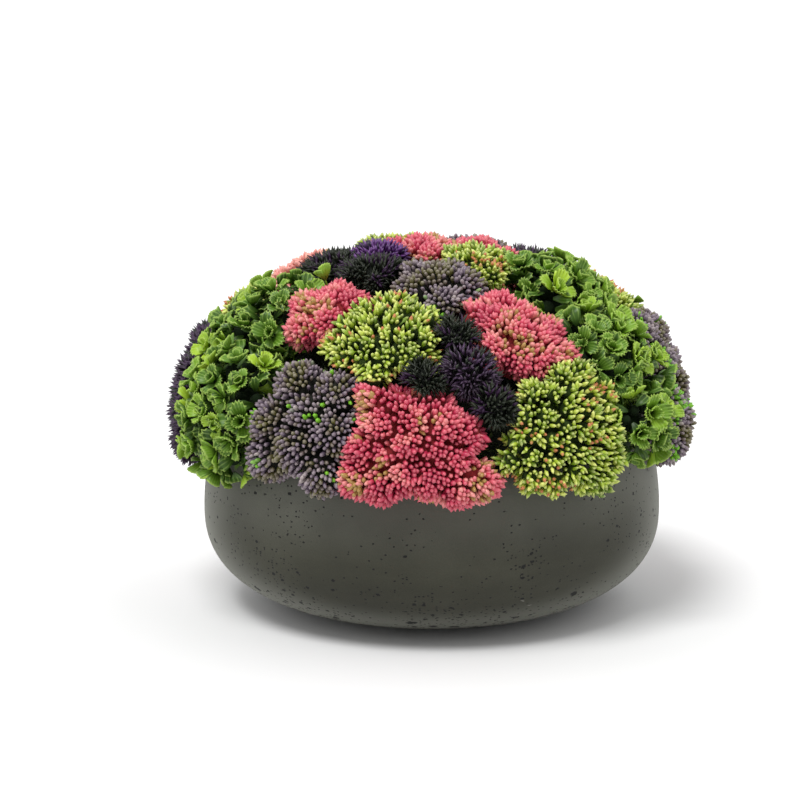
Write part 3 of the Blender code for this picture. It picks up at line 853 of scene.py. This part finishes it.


# Each look of a bud: gloss, share of the patches in its tone, colour of the core under the buds and of
# their feet, the core's painted shade and the feet's partly their own deeper colour and partly painted
# shade, tones from dark to light, colour and share of the tips, partly their own tint and partly a painted
# highlight, then odd flecks and where they start
BUD_FINISHES = {
    "pink": dict(
        shine=0.40, patchy=0.60, core_shade=(0.260, 0.022, 0.026), foot=(0.50, 0.070, 0.075),
        tones=[(0.22, (0.36, 0.014, 0.055)), (0.40, (0.54, 0.040, 0.095)), (0.51, (0.60, 0.085, 0.130)),
               (0.61, (0.65, 0.140, 0.165)), (0.76, (0.72, 0.290, 0.250))],
        tip_tint_and_highlight=(0.77, 0.240, 0.265), tip_highlight_share=0.40, flecks=(0.38, 0.23, 0.07), fleck_limit=0.755,
        fleck_from=-1.0),
    "blush": dict(
        shine=0.40, patchy=0.60, core_shade=(0.10, 0.03, 0.02), foot=(0.62, 0.30, 0.20),
        tones=[(0.2, (0.66, 0.22, 0.20)), (0.5, (0.76, 0.34, 0.29)), (0.8, (0.82, 0.48, 0.36))],
        tip_tint_and_highlight=(0.80, 0.34, 0.30), tip_highlight_share=0.4, flecks=(0.60, 0.42, 0.16), fleck_limit=0.75,
        fleck_from=-1.0),
    "lime": dict(
        shine=0.40, patchy=0.30, core_shade=(0.022, 0.042, 0.004), foot=(0.100, 0.170, 0.010),
        tones=[(0.12, (0.090, 0.160, 0.010)), (0.38, (0.230, 0.350, 0.022)), (0.62, (0.410, 0.520, 0.046)),
               (0.88, (0.640, 0.680, 0.160))],
        tip_tint_and_highlight=(0.74, 0.76, 0.30), tip_highlight_share=0.50, flecks=(0.50, 0.18, 0.07), fleck_limit=0.740,
        fleck_from=0.45),
    "mauve": dict(
        shine=0.34, patchy=0.60, core_shade=(0.014, 0.014, 0.010), foot=(0.070, 0.060, 0.044),
        tones=[(0.24, (0.110, 0.105, 0.022)), (0.38, (0.084, 0.062, 0.042)), (0.50, (0.112, 0.080, 0.122)),
               (0.62, (0.190, 0.145, 0.190)), (0.80, (0.330, 0.280, 0.270))],
        tip_tint_and_highlight=(0.370, 0.310, 0.310), tip_highlight_share=0.36, flecks=(0.17, 0.43, 0.025), fleck_limit=0.795,
        fleck_from=-1.0),
    "dark": dict(
        shine=0.20, patchy=0.55, core_shade=(0.010, 0.012, 0.009), foot=(0.014, 0.018, 0.012),
        tones=[(0.2, (0.009, 0.012, 0.008)), (0.5, (0.016, 0.021, 0.013)), (0.8, (0.032, 0.037, 0.024))],
        tip_tint_and_highlight=(0.040, 0.046, 0.030), tip_highlight_share=0.5, flecks=(0.036, 0.016, 0.044), fleck_limit=0.68,
        fleck_from=-1.0),
    "plum": dict(
        shine=0.22, patchy=0.55, core_shade=(0.010, 0.008, 0.010), foot=(0.024, 0.016, 0.026),
        tones=[(0.2, (0.020, 0.013, 0.020)), (0.5, (0.042, 0.023, 0.048)), (0.8, (0.084, 0.048, 0.100))],
        tip_tint_and_highlight=(0.100, 0.064, 0.112), tip_highlight_share=0.5, flecks=(0.030, 0.036, 0.026), fleck_limit=0.62,
        fleck_from=-1.0),
    "violet": dict(
        shine=0.30, patchy=0.40, core_shade=(0.012, 0.005, 0.020), foot=(0.040, 0.016, 0.070),
        tones=[(0.2, (0.055, 0.016, 0.090)), (0.5, (0.115, 0.030, 0.180)), (0.8, (0.190, 0.070, 0.260))],
        tip_tint_and_highlight=(0.200, 0.110, 0.280), tip_highlight_share=0.5, flecks=(0.034, 0.022, 0.050), fleck_limit=0.66,
        fleck_from=-1.0),
}
FOOT_SHADE_SHARE = 0.75
FLECK_IN_PATCHES = 0.55
FLECK_SOFTNESS = 0.02
CORE_ROUGHNESS = 1.0
BUD_ROUGHNESS = 0.32


def bud_finish(name, shine, patchy, core_shade, foot, tones, tip_tint_and_highlight, tip_highlight_share, flecks, fleck_limit, fleck_from):
    """Soft moulded plastic whose feet, stalks and cores darken as painted shade deep between the buds, with
    a tint and a painted highlight at their tips and patches of odd ones.
    """
    finish = Finish(name, Specular_IOR_Level=shine)
    along = finish.written("along")
    patch = finish.written("patch")
    tint = finish.written("tint")
    colour = finish.ramp(finish.written("tone") * (1 - patchy) + patch * patchy, tones)
    # Partly the buds' own deeper colour, partly painted shade: each bud darkens towards its foot
    colour = finish.mix((1 - along.rise(-0.05, 0.50)) * FOOT_SHADE_SHARE, colour, foot)
    # Partly the buds' own tint, partly a painted highlight: each bud pales towards its tip
    colour = finish.mix(along.rise(0.45, 1.0) * tip_highlight_share, colour, tip_tint_and_highlight)
    odd = tint * (1 - FLECK_IN_PATCHES) + patch * FLECK_IN_PATCHES
    fleck = odd.rise(fleck_limit - FLECK_SOFTNESS, fleck_limit + FLECK_SOFTNESS)
    colour = finish.mix(fleck * along.rise(fleck_from, fleck_from + 0.3), colour, flecks)
    # Painted shade: the stalks and cores, deep between the buds, take the core's dark colour
    shade = along.rise(-0.90, 0.05)
    finish.colour(finish.mix(shade, core_shade, colour))
    finish.roughness(CORE_ROUGHNESS - shade * (CORE_ROUGHNESS - BUD_ROUGHNESS))
    return finish


VIOLET_HEAD = "plum_head_top_left"


def make_heads():
    """A piece of buds for each sedum head."""
    finishes = {look: bud_finish(f"{look}_buds", **colours) for look, colours in BUD_FINISHES.items()}
    for index, head in enumerate(heads):
        if head.kind != "green":
            look = "violet" if head.node == VIOLET_HEAD else head.kind
            mesh = head_mesh(head, index)
            new_piece(f"{head.node}_buds", mesh, finishes[look], f"{head.kind}_buds", head.node)


make_heads()


# The green bunches are rosettes of small spoon leaves with toothed ends, moulded in soft plastic sheet and
# set close together on branching stems, over a layer of leaves painted dark as the shade under the
# rosettes.
SPOT_SPACING = 0.0030
ROSETTE_SPACING = 0.0100
ROSETTE_SINK = 0.0040
ROSETTE_DEPTH_VARIES = 0.0016
ROSETTE_CLEARANCE = 0.0010
ROSETTE_ROOM = 0.0010
ROSETTE_LEAN_VARIES = 0.20
LEAF_LENGTH = 0.0092
LEAF_WIDTH = 0.0068
LEAF_THICKNESS = 0.0004
LEAF_END_ROUNDING = 0.26
LEAF_END_SQUARENESS = 2.4
LEAF_NOTCH = 0.095
LEAF_PLEAT = 0.036
LEAF_RISE = 0.10
LEAF_CUP = 0.14
# Each ring of leaves, from the heart outward: how many, their pitch in degrees and their size
LEAF_RINGS = [(3, 60, 0.74), (4, 26, 1.00)]
LEAF_PITCH_VARIES = 18
LEAF_TURN_VARIES = 0.14
LEAF_SIZES = (0.86, 1.12)
ROSETTE_SIZES = (0.85, 1.15)
TONE_VARIES = 0.2
# A rosette's tone is at least the dullest, and bright ones are the rarer the higher the power
DULLEST_ROSETTE = 0.25
BRIGHT_POWER = 1.5
UNDER_LEAF_SHADE_TONE = 0.15
UNDER_LEAF_SPACING = 0.0044
UNDER_LEAF_SINK = 0.0058
UNDER_LEAF_RINGS = [(1, 26, 1.00)]
BUNCH_CORE_SHARE = 0.32
BUNCH_NECK = 0.34
# Each lone sprig: its bunch, bearing from the front, tilt from straight up, rings of leaves and tone
LONE_SPRIGS = [
    ("green_bunch_left_high", -46, 44, [(3, 68, 0.60), (5, 44, 0.76)], 0.62),
    ("green_bunch_right_high", 86, 61, [(1, 40, 0.65)], 0.6),
]
SPRIG_STALK = 0.0050
SPRIG_STALK_RADIUS = 0.0004
SPRIG_LEAVES_SUNK = 0.3


def leaf_shape(teeth, rows):
    """Points and faces of a spoon leaf along +Y with its face up, then each point's place along and vein.

    A row is its place along the leaf and its breadth as a share of the leaf's width.
    """
    columns = 2 * teeth + 1
    top = []
    for row, (out, breadth) in enumerate(rows):
        for column in range(columns):
            across = 2 * column / (columns - 1) - 1
            at_rim = row == len(rows) - 1 or column in (0, columns - 1) and row > 0
            notch = 1 - LEAF_NOTCH * (at_rim and (column + row) % 2 == 1)
            x = LEAF_WIDTH / 2 * breadth * across * notch
            rounding = LEAF_END_ROUNDING * out * abs(across) ** LEAF_END_SQUARENESS
            y = LEAF_LENGTH * out * notch * (1 - rounding)
            pleat = LEAF_PLEAT * out * (1 if column % 2 else -1)
            z = LEAF_LENGTH * (LEAF_RISE * out ** 2 + LEAF_CUP * out * across ** 2 + pleat)
            top.append((x, y, z))
    under = [(x, y, z - LEAF_THICKNESS) for x, y, z in top]
    size = len(top)
    faces = []
    for row in range(len(rows) - 1):
        for column in range(columns - 1):
            first = row * columns + column
            quad = (first, first + 1, first + columns + 1, first + columns)
            faces.append(quad)
            faces.append(tuple(corner + size for corner in quad[::-1]))
    rim = list(range(columns))
    rim += [row * columns + columns - 1 for row in range(1, len(rows))]
    rim += list(range(size - 2, size - columns - 1, -1))
    rim += [row * columns for row in range(len(rows) - 2, 0, -1)]
    for first, second in zip(rim, rim[1:] + rim[:1]):
        faces.append((second, first, first + size, second + size))
    along = [out for out, _ in rows for _ in range(columns)] * 2
    veins = [float(column % 2) for _ in rows for column in range(columns)] * 2
    return (np.array(top + under), faces), np.array(along), np.array(veins)


LEAF = leaf_shape(5, [(0.00, 0.14), (0.60, 0.86), (1.00, 0.96)])
UNDER_LEAF = leaf_shape(3, [(0.00, 0.20), (0.60, 0.90), (1.00, 0.90)])


def add_leaves(growth, kind, spots, facing, rings, bright, draw):
    """A ring or more of leaves round each spot, opening the way it faces."""
    shape, along, veins = kind
    count = len(spots)
    leaning = unit(facing + draw.normal(0, ROSETTE_LEAN_VARIES, (count, 3)))
    rosettes = turns_to(leaning, draw.uniform(0, MOST_SPIN, count))
    size = draw.uniform(*ROSETTE_SIZES, count)
    for ring, (leaves, pitch, scale) in enumerate(rings):
        for leaf in range(leaves):
            place = leaf + 0.5 * ring + draw.uniform(-LEAF_TURN_VARIES, LEAF_TURN_VARIES, count)
            around = 2 * math.pi * place / leaves
            lift = np.radians(pitch + draw.uniform(-LEAF_PITCH_VARIES, LEAF_PITCH_VARIES, count))
            cos, sin = np.cos(around), np.sin(around)
            up, flat = np.sin(lift), np.cos(lift)
            local = np.stack([np.stack([cos, sin, 0 * cos], axis=1),
                              np.stack([-sin * flat, cos * flat, up], axis=1),
                              np.stack([sin * up, -cos * up, flat], axis=1)], axis=2)
            scales = (scale * size * draw.uniform(*LEAF_SIZES, count))[:, None]
            tone = (1 - TONE_VARIES) * bright + TONE_VARIES * draw.random(count)
            growth.add(shape, rosettes @ local, scales, spots, along=along, tone=tone[:, None], vein=veins)


def add_lone_sprig(growth, bearing, tilt, rings, tone, draw):
    """A few leaves on a thin stalk that stand out between other heads."""
    dome = Head("lone", "green", bearing, tilt, 1)
    summit = np.array([dome.summit])
    facing = np.array([dome.facing])
    stalk = bud_shape(*BUD_OUTLINES["needle"])
    scales = np.array([[SPRIG_STALK_RADIUS, SPRIG_STALK_RADIUS, SPRIG_STALK]])
    turn = turns_to(facing, np.zeros(1))
    growth.add(stalk, turn, scales, summit - facing * SPRIG_STALK, along=0.3, tone=tone)
    foot = summit - facing * SPRIG_LEAVES_SUNK * SPRIG_STALK
    add_leaves(growth, LEAF, foot, facing, rings, np.array([tone]), draw)


def bunch_mesh(head, seed):
    """All the rosettes of a green bunch and its under leaves, on cores coloured with painted shade."""
    draw = np.random.default_rng(seed)
    growth = Growth("along", "tone", "vein")
    spots, facing = skin_spots(head, SPOT_SPACING, ROSETTE_SINK, ROSETTE_CLEARANCE, -ROSETTE_ROOM, draw)
    kept = thinned(spots, ROSETTE_SPACING)
    spots += facing * draw.uniform(-ROSETTE_DEPTH_VARIES, ROSETTE_DEPTH_VARIES, (len(spots), 1))
    bright = DULLEST_ROSETTE + (1 - DULLEST_ROSETTE) * draw.random(len(kept)) ** BRIGHT_POWER
    add_leaves(growth, LEAF, spots[kept], facing[kept], LEAF_RINGS, bright, draw)
    spots, facing = skin_spots(head, SPOT_SPACING, UNDER_LEAF_SINK, 0.0, 0.0, draw)
    kept = thinned(spots, UNDER_LEAF_SPACING)
    # Painted shade: the under leaves take only the darkest tones
    bright = UNDER_LEAF_SHADE_TONE * draw.random(len(kept))
    add_leaves(growth, UNDER_LEAF, spots[kept], facing[kept], UNDER_LEAF_RINGS, bright, draw)
    add_cores(growth, head, head.lobe * BUNCH_CORE_SHARE, BUNCH_NECK)
    for node, bearing, tilt, rings, tone in LONE_SPRIGS:
        if node == head.node:
            add_lone_sprig(growth, bearing, tilt, rings, tone, draw)
    return growth.mesh(head.node + "_leaves")


LEAF_TONES = [(0.00, (0.024, 0.062, 0.006)), (0.30, (0.075, 0.170, 0.016)), (0.60, (0.165, 0.315, 0.020)),
              (0.95, (0.410, 0.590, 0.035))]
LEAF_PAINTED_SHADE = (0.006, 0.016, 0.003)
LEAF_RIM_AND_HIGHLIGHT = (0.42, 0.58, 0.12)
LEAF_VEIN = (0.34, 0.50, 0.12)
VEIN_SHARE = 0.40
RIM_HIGHLIGHT_SHARE = 0.60
HEART_SHADE_SHARE = 0.55
LEAF_ROUGHNESS = 0.40


def leaf_finish():
    """Soft green plastic with pale veins, a yellow green rim that is partly a painted highlight, and
    painted shade at each rosette's heart and on the cores.
    """
    finish = Finish("green_leaves", Specular_IOR_Level=0.30)
    along = finish.written("along")
    colour = finish.ramp(finish.written("tone"), LEAF_TONES)
    vein = finish.written("vein").rise(0.55, 1.0) * along.rise(0.15, 0.6)
    colour = finish.mix(vein * VEIN_SHARE, colour, LEAF_VEIN)
    # Partly the leaves' own yellow green, partly a painted highlight: the rim is paled
    colour = finish.mix(along.rise(0.86, 1.0) * RIM_HIGHLIGHT_SHARE, colour, LEAF_RIM_AND_HIGHLIGHT)
    # Painted shade at the heart of each rosette, where the leaves meet
    colour = finish.mix((1 - along.rise(0.05, 0.45)) * HEART_SHADE_SHARE, colour, LEAF_PAINTED_SHADE)
    # Painted shade: the cores and the stem's end take the darkest green
    grown = along.above(-0.5)
    finish.colour(finish.mix(grown, LEAF_PAINTED_SHADE, colour))
    finish.roughness(CORE_ROUGHNESS - grown * (CORE_ROUGHNESS - LEAF_ROUGHNESS))
    return finish


def make_bunches():
    """A piece of leaves for each green bunch."""
    finish = leaf_finish()
    for index, head in enumerate(heads):
        if head.kind == "green":
            mesh = bunch_mesh(head, index)
            new_piece(f"{head.node}_leaves", mesh, finish, "green_leaves", head.node)


make_bunches()


# Shreds of dried moss are tucked into the gaps between the heads, where they hide the bare foam of the
# mound. Each shred is a thin needle, and two of them make a tuft.
SHRED_SPACING = 0.0030
SHRED_LENGTH = 0.0080
SHRED_LENGTH_VARIES = 0.3
SHRED_WIDTH = 0.0015
SHREDS_A_TUFT = 2
SHRED_LEAN = 0.55
SHRED_ROOM = 0.85
SHRED_STAND_OUT = 0.8
LOWEST_SHRED = 0.05
SHRED_DARK = (0.012, 0.018, 0.006)
SHRED_PALE = (0.060, 0.085, 0.022)


def bare_spots():
    """Places on the mound with no lobe straight over them, and the way the mound faces there."""
    edge = mound_edge_radius()
    area = 2 * math.pi * edge * (edge + MOUND_RISE) / 2
    ball = sunflower_ball(round(2 * area / (HONEYCOMB_SHARE * SHRED_SPACING ** 2)))
    ball = ball[ball[:, 2] > LOWEST_SHRED]
    spots = ball * (edge, edge, MOUND_RISE) + (0, 0, MOUND_EDGE_HEIGHT)
    facing = unit(ball / (edge, edge, MOUND_RISE))
    bare = np.ones(len(spots), dtype=bool)
    for head in heads:
        for lobe in head.lobes:
            offset = np.array(lobe) - spots
            over = (offset * facing).sum(axis=1)
            aside = np.linalg.norm(offset - facing * over[:, None], axis=1)
            bare &= (aside > SHRED_ROOM * head.lobe) | (over < 0)
    return spots[bare], facing[bare]


def make_moss():
    """All the shreds, as one piece."""
    draw = np.random.default_rng(len(heads))
    spots, facing = bare_spots()
    spots = np.repeat(spots, SHREDS_A_TUFT, axis=0)
    count = len(spots)
    lean = unit(np.repeat(facing, SHREDS_A_TUFT, axis=0) + draw.normal(0, SHRED_LEAN, (count, 3)))
    length = SHRED_LENGTH * draw.uniform(1 - SHRED_LENGTH_VARIES, 1 + SHRED_LENGTH_VARIES, (count, 1)) / 2
    width = np.full((count, 1), SHRED_WIDTH / 2)
    turns = turns_to(lean, draw.uniform(0, MOST_SPIN, count))
    growth = Growth("tone")
    growth.add(bud_shape(*BUD_OUTLINES["needle"]), turns, np.hstack([width, width, length]),
               spots + lean * length * SHRED_STAND_OUT, tone=draw.random((count, 1)))
    finish = Finish("moss_shreds", Specular_IOR_Level=0.2)
    finish.colour(finish.ramp(finish.written("tone"), [(0.2, SHRED_DARK), (0.9, SHRED_PALE)]))
    finish.roughness(0.6 + 0.3 * finish.noise(300))
    new_piece("moss_shreds", growth.mesh("moss_shreds"), finish, "moss")


make_moss()
